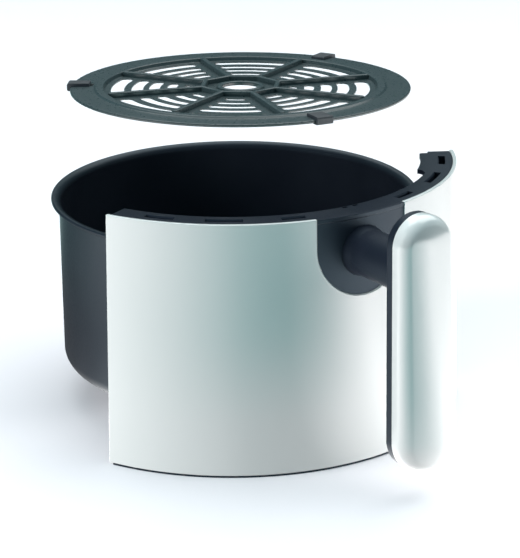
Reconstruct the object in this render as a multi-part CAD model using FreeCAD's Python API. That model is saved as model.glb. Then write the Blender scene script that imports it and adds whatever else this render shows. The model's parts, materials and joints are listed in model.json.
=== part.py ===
"""Pan of a hot-air fryer: coated pot, curved front panel with a handle, and a lift-out grid.

Millimetres. +Z is up, and -Y is the front, where the handle is. The origin is on the pot's axis, in the
plane that the pan stands on. Angles round the pot are measured from the handle, positive towards +X.
The grid is held clear above the pot, as a hand holds it, and slides down into the pot.
"""
import FreeCAD, Part
import math
import os

from FreeCAD import Vector

# ---- driving dimensions --------------------------------------------------------------------------------

LIP_RADIUS = 120.0            # outside of the pot's rolled lip
LIP_TOP = 138.3
LIP_DEPTH = 2.6               # height of the rolled edge
POT_RADIUS_TOP = 114.95       # outside of the wall, just under the lip
POT_RADIUS_BOTTOM = 114.6
POT_BOTTOM = 24.5
POT_CORNER = 10.2             # outside radius between wall and bottom
SHEET = 1.4                   # thickness of the pot's sheet

PANEL_TOP = 161.5
PANEL_RADIUS_TOP = 144.3      # the panel is a cone that widens downwards
PANEL_RADIUS_BOTTOM = 148.0
PANEL_THICKNESS = 2.5
PANEL_LEFT = -65.4            # angles of the panel's two ends
PANEL_RIGHT = 62.2
RIM = 0.8                     # the carrier's rim, which the panel stands on

CUT_HALF_WIDTH = 32.4         # the U-shaped cut-out in the panel
CUT_BOTTOM = 109.8

NECK_HEIGHT = 137.2           # axis of the handle's neck
NECK_RADIUS = 14.7
NECK_FLARE = 1.2              # extra radius where the neck meets the insert

GRIP_PARTING = 198.3          # where the grip's back meets its cover, at PARTING_HEIGHT
PARTING_HEIGHT = 125.0
GRIP_TILT = 1.9               # degrees, the foot of the grip leans outwards
GRIP_TOP = 175.0
GRIP_FOOT = 15.5
GRIP_HALF_WIDTH_TOP = 19.3
GRIP_HALF_WIDTH_FOOT = 20.6
GRIP_BACK_DEPTH = 6.8
COVER_DEPTH_TOP = 13.7
COVER_DEPTH_FOOT = 16.6

TRAY_RADIUS_FLOOR = 84.5
TRAY_RADIUS_TOP = 99.0

GRID_RADIUS = 109.6
GRID_HEIGHT = 209.1           # top of the grid's flange at its centre, as it is held
GRID_OFFSET = 4.28            # how far its centre is held off the pot's axis
GRID_OFFSET_TOWARDS = -32.8   # ordinary azimuth of that offset, from +X
GRID_TIP = 2.2                # degrees out of level
GRID_TIP_TOWARDS = 57.2       # azimuth of its lowest side
PAD_TIP_RADIUS = 111.8

# ---- smaller shared sizes ------------------------------------------------------------------------------

GAP = 0.2                     # clearance between curved pieces that lie against each other
HOLE_PLAY = 0.05              # radial play of a shank in its hole

ORIGIN = Vector(0, 0, 0)
UP = Vector(0, 0, 1)
OUT = Vector(0, -1, 0)        # outwards along the handle
INWARD = Vector(0, 1, 0)


# ---- drawing helpers -----------------------------------------------------------------------------------

def spot(radius, angle, z):
    """The point at a radius, an angle from the handle and a height."""
    turn = math.radians(angle)
    return Vector(radius * math.sin(turn), -radius * math.cos(turn), z)


def outward(angle):
    """The horizontal direction away from the pot's axis at an angle from the handle."""
    return spot(1, angle, 0)


def rounded_wire(corners, place):
    """A closed wire through (u, v, radius) corners, each rounded by its radius; 0 keeps a corner sharp."""
    bends = []
    for index, (u, v, radius) in enumerate(corners):
        here = Vector(u, v, 0)
        last = corners[index - 1]
        following = corners[(index + 1) % len(corners)]
        back = (Vector(last[0], last[1], 0) - here).normalize()
        ahead = (Vector(following[0], following[1], 0) - here).normalize()
        if radius == 0:
            bends.append((here, None, here))
            continue
        half_angle = back.getAngle(ahead) / 2
        reach = radius / math.tan(half_angle)
        towards_centre = (back + ahead).normalize()
        crown = here + towards_centre * (radius / math.sin(half_angle) - radius)
        bends.append((here + back * reach, crown, here + ahead * reach))
    edges = []
    for index, (start, crown, end) in enumerate(bends):
        if crown is not None:
            edges.append(Part.Arc(place(start), place(crown), place(end)).toShape())
        next_start = bends[(index + 1) % len(bends)][0]
        if (next_start - end).Length > 1e-6:
            edges.append(Part.LineSegment(place(end), place(next_start)).toShape())
    return Part.Wire(edges)


def turned(corners, start=-180.0, end=180.0):
    """A solid turned about the pot's axis from a (radius, z, rounding) outline, between two angles."""
    face = Part.Face(rounded_wire(corners, lambda p: Vector(p.x, 0, p.y)))
    solid = face.revolve(ORIGIN, UP, end - start)
    solid.rotate(ORIGIN, UP, start - 90)
    return solid


def ring_block(inner, outer, low, high, start=-180.0, end=180.0, rounding=0.0):
    """A block bent round the pot's axis."""
    corners = [(inner, low, rounding), (outer, low, rounding),
               (outer, high, rounding), (inner, high, rounding)]
    return turned(corners, start, end)


def rod(start, direction, length, radius):
    return Part.makeCylinder(radius, length, start, direction)


def joined(first, others):
    """One solid from pieces that overlap."""
    return first.fuse(others).removeSplitter()


def arc_slot(inner, outer, start, end, low, high):
    """A curved slot with round ends, as the solid that cuts it. start and end are its ends' middles."""
    middle = (inner + outer) / 2
    end_turn = math.degrees((outer - inner) / 2 / middle)
    half = (start + end) / 2
    near = Part.Arc(spot(inner, start, low), spot(inner, half, low), spot(inner, end, low))
    far = Part.Arc(spot(outer, end, low), spot(outer, half, low), spot(outer, start, low))
    cap_end = Part.Arc(spot(inner, end, low), spot(middle, end + end_turn, low), spot(outer, end, low))
    cap_start = Part.Arc(spot(outer, start, low), spot(middle, start - end_turn, low),
                         spot(inner, start, low))
    wire = Part.Wire([near.toShape(), cap_end.toShape(), far.toShape(), cap_start.toShape()])
    return Part.Face(wire).extrude(Vector(0, 0, high - low))


def screw(head_top, direction, length, shank_radius, head_radius, head_height):
    """A pan-head screw: head_top is the middle of its head's top, direction the way it is driven."""
    head = rod(head_top, direction, head_height, head_radius)
    shank = rod(head_top + direction * head_height, direction, length, shank_radius)
    slot = Part.makeBox(head_radius * 1.1, 0.7, 0.9)
    slot.translate(Vector(-head_radius * 0.55, -0.35, 0))
    cross = slot.fuse(slot.rotated(ORIGIN, UP, 90))
    cross.Placement = FreeCAD.Placement(head_top, FreeCAD.Rotation(UP, direction)).multiply(cross.Placement)
    return head.fuse(shank).removeSplitter().cut(cross)


# ---- the panel's cone ----------------------------------------------------------------------------------

def panel_radius(z):
    """Outside radius of the front panel at a height."""
    return PANEL_RADIUS_BOTTOM + (PANEL_RADIUS_TOP - PANEL_RADIUS_BOTTOM) * z / PANEL_TOP


def cone_wall(inset, thickness, low, high, start, end, rounding=0.0):
    """A wall that follows the panel's cone, its outside face the inset inside the panel's."""
    corners = [
        (panel_radius(low) - inset - thickness, low, rounding),
        (panel_radius(low) - inset, low, rounding),
        (panel_radius(high) - inset, high, rounding),
        (panel_radius(high) - inset - thickness, high, rounding),
    ]
    return turned(corners, start, end)


def u_prism(inset):
    """The cut-out's U outline, made smaller by the inset, as a prism through the front of the pan."""
    half_width = CUT_HALF_WIDTH - inset
    arc_height = CUT_BOTTOM + CUT_HALF_WIDTH
    above = PANEL_TOP + 20
    near = -110.0
    left_low = Vector(-half_width, near, arc_height)
    right_low = Vector(half_width, near, arc_height)
    left_high = Vector(-half_width, near, above)
    right_high = Vector(half_width, near, above)
    bottom = Vector(0, near, arc_height - half_width)
    wire = Part.Wire([
        Part.LineSegment(left_high, left_low).toShape(),
        Part.Arc(left_low, bottom, right_low).toShape(),
        Part.LineSegment(right_low, right_high).toShape(),
        Part.LineSegment(right_high, left_high).toShape(),
    ])
    return Part.Face(wire).extrude(OUT * 60)


# ---- where the fasteners go ----------------------------------------------------------------------------

RIVET_ANGLES = (-15.5, 15.5)
RIVET_HEIGHTS = (108.0, 124.0)
RIVET_RADIUS = 2.0
HEAD_SEAT = 0.12              # a flat rivet head stands this far off the hollow wall at its middle

STUD_CIRCLE = 60.0
STUD_ANGLES = (60.0, 180.0, 300.0)
STUD_RADIUS = 2.0
STUD_BOTTOM = 2.2
SPACER_HEIGHT = 1.8

BASE_SCREW_CIRCLE = 104.0
BASE_SCREW_ANGLES = (-38.0, 0.0, 38.0)

PANEL_SCREW_ANGLES = (-54.0, -27.0, 27.0, 54.0)
PANEL_SCREW_HEIGHTS = (22.0, 138.0)

FRAME_SCREW_ANGLES = (-44.0, -26.0, 26.0, 44.0)
FRAME_SCREW_CIRCLE = 135.0

SHIELD_SCREW_ANGLES = (-40.0, 40.0)
SHIELD_SCREW_HEIGHTS = (24.0, 84.0)
SHIELD_RADIUS = 130.0
SHIELD_THICKNESS = 0.6

NECK_SCREW_RISE = 8.0         # the two neck screws stand this far above and below the neck's axis
GRIP_SCREW_OFFSETS = (-10.0, 10.0)
SMALL_SCREW_RADIUS = 1.5
SMALL_HOLE_RADIUS = SMALL_SCREW_RADIUS + HOLE_PLAY
LARGE_SCREW_RADIUS = 2.2
LARGE_HOLE_RADIUS = LARGE_SCREW_RADIUS + HOLE_PLAY


# ---- pot -----------------------------------------------------------------------------------------------

def pot():
    """Drawn steel pot: straight wall, flared rim, edge rolled down, and a pressed ring in its floor."""
    inside_top = POT_RADIUS_TOP - SHEET
    inside_bottom = POT_RADIUS_BOTTOM - SHEET
    floor = POT_BOTTOM + SHEET
    inner_corner = POT_CORNER - SHEET
    ring_inner = 70.0
    ring_outer = 74.0
    ring_rise = 1.0
    lip_low = LIP_TOP - LIP_DEPTH
    body = turned([
        (0, floor, 0),
        (ring_inner, floor, 0.8),
        (ring_inner + 1, floor + ring_rise, 0.5),
        (ring_outer - 1, floor + ring_rise, 0.5),
        (ring_outer, floor, 0.8),
        (inside_bottom, floor, inner_corner),
        (inside_top, LIP_TOP, 3.0),
        (LIP_RADIUS, LIP_TOP, 1.7),
        (LIP_RADIUS, lip_low, 0.6),
        (LIP_RADIUS - SHEET, lip_low, 0.6),
        (LIP_RADIUS - SHEET, LIP_TOP - SHEET, 0.4),
        (POT_RADIUS_TOP, LIP_TOP - SHEET, 1.5),
        (POT_RADIUS_BOTTOM, POT_BOTTOM, POT_CORNER),
        (0, POT_BOTTOM, 0),
    ])
    holes = [rod(spot(100, angle, height), outward(angle), 30, RIVET_RADIUS + HOLE_PLAY)
             for angle in RIVET_ANGLES for height in RIVET_HEIGHTS]
    return body.cut(holes)


def pot_studs():
    """Three studs welded under the pot's floor."""
    return [rod(spot(STUD_CIRCLE, angle, STUD_BOTTOM), UP, POT_BOTTOM - STUD_BOTTOM, STUD_RADIUS)
            for angle in STUD_ANGLES]


def pot_spacers():
    """Silicone rings that keep the hot floor off the plastic tray."""
    spacers = []
    for angle in STUD_ANGLES:
        foot = spot(STUD_CIRCLE, angle, POT_BOTTOM - SPACER_HEIGHT)
        ring = rod(foot, UP, SPACER_HEIGHT, 7.0)
        spacers.append(ring.cut(rod(foot, UP, SPACER_HEIGHT, STUD_RADIUS + HOLE_PLAY)))
    return spacers


# ---- base tray -----------------------------------------------------------------------------------------

TRAY_WALL = 2.5
TRAY_NUT_SEAT = 7.0           # height that the washers bear on
WASHER_HEIGHT = 0.8
NUT_HEIGHT = 3.2
TAB_LOW = 2.7
TAB_THICKNESS = 4.0


def base_tray():
    """Tapered dish that the pan stands on, with three stud bosses and three tabs for the carrier."""
    top = POT_BOTTOM - SPACER_HEIGHT
    dish = turned([
        (0, 0, 0),
        (TRAY_RADIUS_FLOOR, 0, 1.2),
        (TRAY_RADIUS_TOP, top, 0.8),
        (TRAY_RADIUS_TOP - TRAY_WALL, top, 0.8),
        (TRAY_RADIUS_FLOOR - TRAY_WALL, TRAY_WALL, 2.0),
        (0, TRAY_WALL, 0),
    ])
    rings = [ring_block(radius - 1, radius + 1, 1, 8) for radius in (30.0, STUD_CIRCLE)]
    bosses = [rod(spot(STUD_CIRCLE, angle, 1), UP, top - 1, 8.0) for angle in STUD_ANGLES]
    tabs = []
    for angle in BASE_SCREW_ANGLES:
        tab = Part.makeBox(18, 25, TAB_THICKNESS, Vector(-9, -BASE_SCREW_CIRCLE, TAB_LOW))
        tip = rod(Vector(0, -BASE_SCREW_CIRCLE, TAB_LOW), UP, TAB_THICKNESS, 9.0)
        tab = tab.fuse(tip)
        tab.rotate(ORIGIN, UP, angle)
        tabs.append(tab)
    inside = turned([(0, TRAY_WALL, 0), (TRAY_RADIUS_FLOOR - TRAY_WALL, TRAY_WALL, 0),
                     (TRAY_RADIUS_TOP - TRAY_WALL, top, 0), (0, top, 0)])
    tabs = [tab.cut(inside) for tab in tabs]
    tray = joined(dish, rings + bosses + tabs)
    cuts = []
    for angle in STUD_ANGLES:
        cuts.append(rod(spot(STUD_CIRCLE, angle, -1), UP, TRAY_NUT_SEAT + 1, 5.6))
        cuts.append(rod(spot(STUD_CIRCLE, angle, 0), UP, top + 1, STUD_RADIUS + 0.3))
    for angle in BASE_SCREW_ANGLES:
        cuts.append(rod(spot(BASE_SCREW_CIRCLE, angle, 0), UP, 6.2, SMALL_HOLE_RADIUS))
    return tray.cut(cuts)


def stud_washers():
    washers = []
    for angle in STUD_ANGLES:
        foot = spot(STUD_CIRCLE, angle, TRAY_NUT_SEAT - WASHER_HEIGHT)
        washer = rod(foot, UP, WASHER_HEIGHT, 4.6)
        washers.append(washer.cut(rod(foot, UP, WASHER_HEIGHT, STUD_RADIUS + 0.2)))
    return washers


def stud_nuts():
    """Hexagon nuts on the studs."""
    nuts = []
    for angle in STUD_ANGLES:
        low = TRAY_NUT_SEAT - WASHER_HEIGHT - NUT_HEIGHT
        corners = [spot(4.0, 60 * step, low) for step in range(7)]
        nut = Part.Face(Part.makePolygon(corners)).extrude(Vector(0, 0, NUT_HEIGHT))
        nut = nut.cut(rod(Vector(0, 0, low), UP, NUT_HEIGHT, STUD_RADIUS + HOLE_PLAY))
        nut.translate(spot(STUD_CIRCLE, angle, 0))
        nuts.append(nut)
    return nuts


def base_screws():
    """Screws up through the carrier's floor flange into the tray's tabs."""
    return [screw(spot(BASE_SCREW_CIRCLE, angle, 0.6), UP, 4.2, SMALL_SCREW_RADIUS, 2.9, 1.2)
            for angle in BASE_SCREW_ANGLES]


# ---- carrier behind the panel --------------------------------------------------------------------------

CARRIER_INSET = PANEL_THICKNESS + GAP
CARRIER_THICKNESS = 2.5
CARRIER_TOP = 158.0
FLANGE_THICKNESS = 2.5
FLANGE_INNER = 93.0
CARRIER_RIB_ANGLES = (-50.0, -20.0, 20.0, 50.0)
WINDOW_INSET = 5.0            # the carrier's window is this much smaller than the panel's cut-out


def carrier_inside(z):
    """Inside radius of the carrier's wall."""
    return panel_radius(z) - CARRIER_INSET - CARRIER_THICKNESS


def inner_shell():
    """Carrier: curved wall, floor flange, foot rim, screw bosses, and a window for the handle insert."""
    start = PANEL_LEFT + 1.2
    end = PANEL_RIGHT - 1.2
    wall = cone_wall(CARRIER_INSET, CARRIER_THICKNESS, 0, CARRIER_TOP, start, end)
    rim = cone_wall(0, CARRIER_INSET + 1, 0, RIM - 0.05, start, end)
    flange_outer = panel_radius(0) - CARRIER_INSET - 1
    flange = ring_block(FLANGE_INNER, flange_outer, 0, FLANGE_THICKNESS, start + 8, end - 8)
    frame_bosses = []
    for angle in FRAME_SCREW_ANGLES:
        foot = spot(FRAME_SCREW_CIRCLE, angle, CARRIER_TOP - 10)
        frame_bosses.append(rod(foot, UP, 10, 4.0))
        web = Part.makeBox(3, carrier_inside(CARRIER_TOP) - FRAME_SCREW_CIRCLE + 1, 10,
                           Vector(-1.5, -carrier_inside(CARRIER_TOP) - 1, CARRIER_TOP - 10))
        web.rotate(ORIGIN, UP, angle)
        frame_bosses.append(web)
    shield_bosses = []
    for angle in SHIELD_SCREW_ANGLES:
        for height in SHIELD_SCREW_HEIGHTS:
            foot = spot(SHIELD_RADIUS + SHIELD_THICKNESS + GAP, angle, height)
            length = carrier_inside(height) - SHIELD_RADIUS
            shield_bosses.append(rod(foot, outward(angle), length, 3.5))
    ribs = [cone_wall(CARRIER_INSET + CARRIER_THICKNESS - 0.5, 8.5, 2, 96, angle - 0.4, angle + 0.4)
            for angle in CARRIER_RIB_ANGLES]
    shell = joined(wall, [rim, flange] + frame_bosses + shield_bosses + ribs)
    cuts = [u_prism(WINDOW_INSET)]
    for angle in FRAME_SCREW_ANGLES:
        cuts.append(rod(spot(FRAME_SCREW_CIRCLE, angle, CARRIER_TOP - 11), UP, 12, SMALL_HOLE_RADIUS))
    for angle in PANEL_SCREW_ANGLES:
        for height in PANEL_SCREW_HEIGHTS:
            cuts.append(rod(spot(130, angle, height), outward(angle), 15, SMALL_HOLE_RADIUS))
    for angle in SHIELD_SCREW_ANGLES:
        for height in SHIELD_SCREW_HEIGHTS:
            cuts.append(rod(spot(128, angle, height), outward(angle), 9, SMALL_HOLE_RADIUS))
    for angle in BASE_SCREW_ANGLES:
        cuts.append(rod(spot(BASE_SCREW_CIRCLE, angle, -1), UP, 5, SMALL_HOLE_RADIUS))
        cuts.append(rod(spot(BASE_SCREW_CIRCLE, angle, -1), UP, 2.8, 3.1))
    return shell.cut(cuts)


# ---- front panel ---------------------------------------------------------------------------------------

def front_panel():
    """Gloss panel: a conical sector with a U-shaped cut-out, rounded rims, and blind screw holes."""
    wall = cone_wall(0, PANEL_THICKNESS, RIM, PANEL_TOP, PANEL_LEFT, PANEL_RIGHT, 0.7)
    end_faces = [face for face in wall.Faces if face.Surface.TypeId == "Part::GeomPlane"
                 and abs(face.normalAt(0, 0).z) < 0.5]
    end_edges = [edge for face in end_faces for edge in face.Edges]
    wall = wall.makeFillet(0.6, end_edges)
    panel = wall.cut(u_prism(0))
    pilots = [rod(spot(panel_radius(height) - PANEL_THICKNESS - 1, angle, height), outward(angle), 2.5,
                  SMALL_HOLE_RADIUS)
              for angle in PANEL_SCREW_ANGLES for height in PANEL_SCREW_HEIGHTS]
    return panel.cut(pilots)


def panel_screws():
    """Screws from inside the carrier into the back of the panel."""
    screws = []
    for angle in PANEL_SCREW_ANGLES:
        for height in PANEL_SCREW_HEIGHTS:
            head_height = 2.0
            head_top = spot(carrier_inside(height) - head_height - GAP, angle, height)
            shank = CARRIER_THICKNESS + GAP * 2 + 1.2
            screws.append(screw(head_top, outward(angle), shank, SMALL_SCREW_RADIUS, 3.0, head_height))
    return screws


# ---- top frame -----------------------------------------------------------------------------------------

FRAME_INNER = 127.0
FRAME_THICKNESS = 3.2
FRAME_DROP = 0.3              # the rail's top lies this far below the panel's
FRAME_LUG_INNER = 121.0
LUG_START = 39.5              # angle where the lug begins; it ends near the rail's right end
FRAME_SLOTS = ((17.8, 3.2), (35.6, 4.9), (52.4, 3.9))   # middle angle and half angle of each slot
SLOT_INNER = 133.0
SLOT_OUTER = 137.0
SLOT_CHAMFER = 0.9            # slope on each slot's inner edge
POCKET_DEPTH = 6.0            # of the closed pocket under each slot
POCKET_WALL = 0.8
HOLLOW_RADIUS = 5.2           # of the hollow at the corner where the lug begins


def frame_outer():
    return panel_radius(PANEL_TOP) - PANEL_THICKNESS - GAP


def top_frame():
    """Dark rail inside the panel's top edge, with pockets, a skirt, and a wide lug at its right end."""
    low = PANEL_TOP - FRAME_THICKNESS
    start = PANEL_LEFT + 1.0
    end = PANEL_RIGHT - 1.0
    high = PANEL_TOP - FRAME_DROP
    rail = ring_block(FRAME_INNER, frame_outer(), low, high, start, end, 0.5)
    cut_turn = math.degrees(math.asin((CUT_HALF_WIDTH - GAP) / PANEL_RADIUS_TOP))
    fascia = ring_block(FRAME_INNER + 2, PANEL_RADIUS_TOP - 0.6, low, high, -cut_turn, cut_turn, 0.5)
    lug = ring_block(FRAME_LUG_INNER, FRAME_INNER + 3, low, high, LUG_START, end - 1.5)
    lug_corners = [edge for edge in lug.Edges
                   if edge.BoundBox.ZLength > FRAME_THICKNESS / 2
                   and math.hypot(edge.CenterOfMass.x, edge.CenterOfMass.y) < FRAME_LUG_INNER + 1]
    lug = lug.makeFillet(2.2, lug_corners)
    skirt = ring_block(FRAME_INNER + 0.2, FRAME_INNER + 2.2, low - 5, low + 1, start + 0.5, end - 0.5)
    floor = PANEL_TOP - POCKET_DEPTH
    wall_turn = math.degrees(POCKET_WALL / SLOT_INNER)
    pockets = []
    cuts = []
    for middle, half in FRAME_SLOTS:
        for side in (-1, 1):
            slot_start = side * middle - half
            slot_end = side * middle + half
            pockets.append(ring_block(SLOT_INNER - POCKET_WALL, SLOT_OUTER + POCKET_WALL,
                                      floor - POCKET_WALL, low + 1,
                                      slot_start - wall_turn, slot_end + wall_turn))
            window = [(SLOT_INNER, floor, 0), (SLOT_OUTER, floor, 0), (SLOT_OUTER, PANEL_TOP, 0),
                      (SLOT_INNER - SLOT_CHAMFER, PANEL_TOP, 0),
                      (SLOT_INNER, PANEL_TOP - FRAME_DROP - SLOT_CHAMFER, 0)]
            cuts.append(turned(window, slot_start, slot_end))
    frame = joined(rail, [fascia, lug, skirt] + pockets)
    cuts.append(rod(spot(FRAME_LUG_INNER, LUG_START, low - 8), UP, 16, HOLLOW_RADIUS))
    for angle in (-1.7, 1.7):
        cuts.append(ring_block(FRAME_INNER + 0.9, FRAME_INNER + 2.6, PANEL_TOP - 2, PANEL_TOP + 1,
                               angle - 0.8, angle + 0.8))
    for angle in FRAME_SCREW_ANGLES:
        cuts.append(rod(spot(FRAME_SCREW_CIRCLE, angle, low - 1), UP, 3.0, SMALL_HOLE_RADIUS))
    return frame.cut(cuts)


def frame_screws():
    """Screws up through the carrier's top bosses into the frame."""
    head_height = 2.0
    low = CARRIER_TOP - 10 - head_height
    return [screw(spot(FRAME_SCREW_CIRCLE, angle, low), UP, 11.8, SMALL_SCREW_RADIUS, 3.0, head_height)
            for angle in FRAME_SCREW_ANGLES]


# ---- heat shield and bracket ---------------------------------------------------------------------------

def heat_shield():
    """Thin curved sheet between the pot and the carrier, below the bracket."""
    sheet = ring_block(SHIELD_RADIUS, SHIELD_RADIUS + SHIELD_THICKNESS, 8, 97, -46, 46)
    holes = [rod(spot(SHIELD_RADIUS - 2, angle, height), outward(angle), 5, SMALL_HOLE_RADIUS)
             for angle in SHIELD_SCREW_ANGLES for height in SHIELD_SCREW_HEIGHTS]
    return sheet.cut(holes)


def shield_screws():
    head_height = 1.6
    return [screw(spot(SHIELD_RADIUS - head_height - HOLE_PLAY, angle, height), outward(angle), 6.0,
                  SMALL_SCREW_RADIUS, 2.8, head_height)
            for angle in SHIELD_SCREW_ANGLES for height in SHIELD_SCREW_HEIGHTS]


BRACKET_SHEET = 1.5
BRACKET_LOW = 102.0
BRACKET_HIGH = 130.0
CROWN_HALF_ANGLE = 9.0
CROWN_OUTER = 138.0
CROWN_TOP = 152.0


def mounting_bracket():
    """Hat-shaped steel bracket: two flanges on the pot's wall, two arms, and a crown behind the carrier."""
    wall = POT_RADIUS_TOP + GAP / 2
    crown = ring_block(CROWN_OUTER - BRACKET_SHEET, CROWN_OUTER, BRACKET_LOW, CROWN_TOP,
                       -CROWN_HALF_ANGLE, CROWN_HALF_ANGLE)
    pieces = []
    for side in (-1, 1):
        edge = side * CROWN_HALF_ANGLE
        arm_turn = side * math.degrees(BRACKET_SHEET / 125.0)
        arm = ring_block(wall, CROWN_OUTER, BRACKET_LOW, BRACKET_HIGH, min(edge, edge + arm_turn),
                         max(edge, edge + arm_turn))
        flange_end = side * 21.0
        flange = ring_block(wall, wall + BRACKET_SHEET, BRACKET_LOW, BRACKET_HIGH, min(edge, flange_end),
                            max(edge, flange_end))
        pieces += [arm, flange]
    bracket = joined(crown, pieces)
    holes = [rod(spot(100, angle, height), outward(angle), 30, RIVET_RADIUS + HOLE_PLAY)
             for angle in RIVET_ANGLES for height in RIVET_HEIGHTS]
    for rise in (-NECK_SCREW_RISE, NECK_SCREW_RISE):
        holes.append(rod(Vector(0, -125, NECK_HEIGHT + rise), OUT, 20, LARGE_HOLE_RADIUS))
    return bracket.cut(holes)


def bracket_rivets():
    """Solid rivets with low heads inside the pot and on the bracket."""
    rivets = []
    head = 1.3
    for angle in RIVET_ANGLES:
        for height in RIVET_HEIGHTS:
            rise = (height - POT_BOTTOM) / (LIP_TOP - POT_BOTTOM)
            inside = POT_RADIUS_BOTTOM + (POT_RADIUS_TOP - POT_RADIUS_BOTTOM) * rise - SHEET - HEAD_SEAT
            outside = POT_RADIUS_TOP + GAP / 2 + BRACKET_SHEET + HOLE_PLAY
            shank = rod(spot(inside, angle, height), outward(angle), outside - inside, RIVET_RADIUS)
            inner_head = Part.makeCone(2.6, 4.0, head, spot(inside - head, angle, height), outward(angle))
            outer_head = Part.makeCone(4.0, 2.6, head, spot(outside, angle, height), outward(angle))
            rivets.append(joined(shank, [inner_head, outer_head]))
    return rivets


# ---- handle --------------------------------------------------------------------------------------------

INSERT_RECESS = 1.0           # the insert's face lies this far behind the panel's


def handle_insert():
    """Dark plate in the panel's cut-out, with a plug behind it that fills the carrier's window."""
    top = PANEL_TOP - FRAME_THICKNESS - GAP / 2
    plate = cone_wall(INSERT_RECESS, PANEL_THICKNESS - INSERT_RECESS, 100, top, -20, 20)
    plate = plate.common(u_prism(GAP))
    plug_thickness = panel_radius(NECK_HEIGHT) - PANEL_THICKNESS - CROWN_OUTER - HOLE_PLAY
    plug = cone_wall(PANEL_THICKNESS - 0.1, plug_thickness + 0.1, 100, CARRIER_TOP - GAP, -20, 20)
    plug = plug.common(u_prism(WINDOW_INSET + GAP))
    insert = joined(plate, [plug])
    behind = ring_block(60, CROWN_OUTER + HOLE_PLAY, 90, 160, -30, 30)
    holes = [rod(Vector(0, -120, NECK_HEIGHT + rise), OUT, 30, LARGE_HOLE_RADIUS)
             for rise in (-NECK_SCREW_RISE, NECK_SCREW_RISE)]
    return insert.cut([behind] + holes)


def grip_placement():
    """Leans the grip so that its foot stands further out than its top."""
    hinge = Vector(0, -GRIP_PARTING, PARTING_HEIGHT)
    return FreeCAD.Placement(ORIGIN, FreeCAD.Rotation(Vector(1, 0, 0), -GRIP_TILT), hinge)


def handle_neck():
    """Round arm, flared at the insert and at the grip, cored out and drilled for its screws."""
    root = panel_radius(NECK_HEIGHT) - INSERT_RECESS
    tip = GRIP_PARTING - GRIP_BACK_DEPTH + 1.5
    start = root - 6
    profile = [
        (0, start, 0),
        (NECK_RADIUS + NECK_FLARE, start, 0),
        (NECK_RADIUS + NECK_FLARE, root + 0.4, 0),
        (NECK_RADIUS, root + 6.5, 12.0),
        (NECK_RADIUS, tip - 6, 3.0),
        (NECK_RADIUS + 1.6, tip, 0),
        (0, tip, 0),
    ]
    face = Part.Face(rounded_wire(profile, lambda p: Vector(p.x, -p.y, NECK_HEIGHT)))
    neck = face.revolve(Vector(0, 0, NECK_HEIGHT), OUT, 360)
    inside_of_face = turned([(60, 60, 0), (panel_radius(60) - INSERT_RECESS, 60, 0),
                             (panel_radius(200) - INSERT_RECESS, 200, 0), (60, 200, 0)], -40, 40)
    in_front_of_grip = Part.makeBox(80, 40, 220, Vector(-40, -GRIP_PARTING + GRIP_BACK_DEPTH - 40, 0))
    in_front_of_grip.Placement = grip_placement().multiply(in_front_of_grip.Placement)
    cuts = [inside_of_face, in_front_of_grip]
    cuts.append(rod(Vector(0, -root - 22, NECK_HEIGHT), OUT, 60, 6.0))
    for rise in (-NECK_SCREW_RISE, NECK_SCREW_RISE):
        cuts.append(rod(Vector(0, -root + 5, NECK_HEIGHT + rise), OUT, 22, LARGE_HOLE_RADIUS))
    for x in GRIP_SCREW_OFFSETS:
        pilot = rod(Vector(x, -tip + 14, NECK_HEIGHT), OUT, 20, SMALL_HOLE_RADIUS)
        pilot.Placement = grip_placement().multiply(pilot.Placement)
        cuts.append(pilot)
    return neck.cut(cuts)


def neck_screws():
    """Two machine screws from the bracket's crown through the insert into the neck."""
    head_height = 2.6
    head_top = CROWN_OUTER - BRACKET_SHEET - head_height - GAP
    return [screw(Vector(0, -head_top, NECK_HEIGHT + rise), OUT, 22.5, LARGE_SCREW_RADIUS, 4.2, head_height)
            for rise in (-NECK_SCREW_RISE, NECK_SCREW_RISE)]


def crowned_section(half_width, depth, corner, crown_radius, z, x_sign=1):
    """Half of the cover's level section: side wall, corner arc and a shallow crown, all tangent."""
    crown_centre = depth - crown_radius
    corner_x = half_width - corner
    corner_y = crown_centre + math.sqrt((crown_radius - corner) ** 2 - corner_x ** 2)
    lean = math.atan2(corner_x, corner_y - crown_centre)
    meet = (crown_radius * math.sin(lean), crown_centre + crown_radius * math.cos(lean))
    half_turn = (math.pi / 2 - lean) / 2
    on_corner = (corner_x + corner * math.cos(half_turn), corner_y + corner * math.sin(half_turn))
    on_crown = (crown_radius * math.sin(lean / 2), crown_centre + crown_radius * math.cos(lean / 2))

    def at(x, y):
        return Vector(x_sign * x, -GRIP_PARTING - y, z)

    return [
        Part.LineSegment(at(0, 0), at(half_width, 0)).toShape(),
        Part.LineSegment(at(half_width, 0), at(half_width, corner_y)).toShape(),
        Part.Arc(at(half_width, corner_y), at(*on_corner), at(*meet)).toShape(),
        Part.Arc(at(*meet), at(*on_crown), at(0, depth)).toShape(),
        Part.LineSegment(at(0, depth), at(0, 0)).toShape(),
    ]


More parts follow.
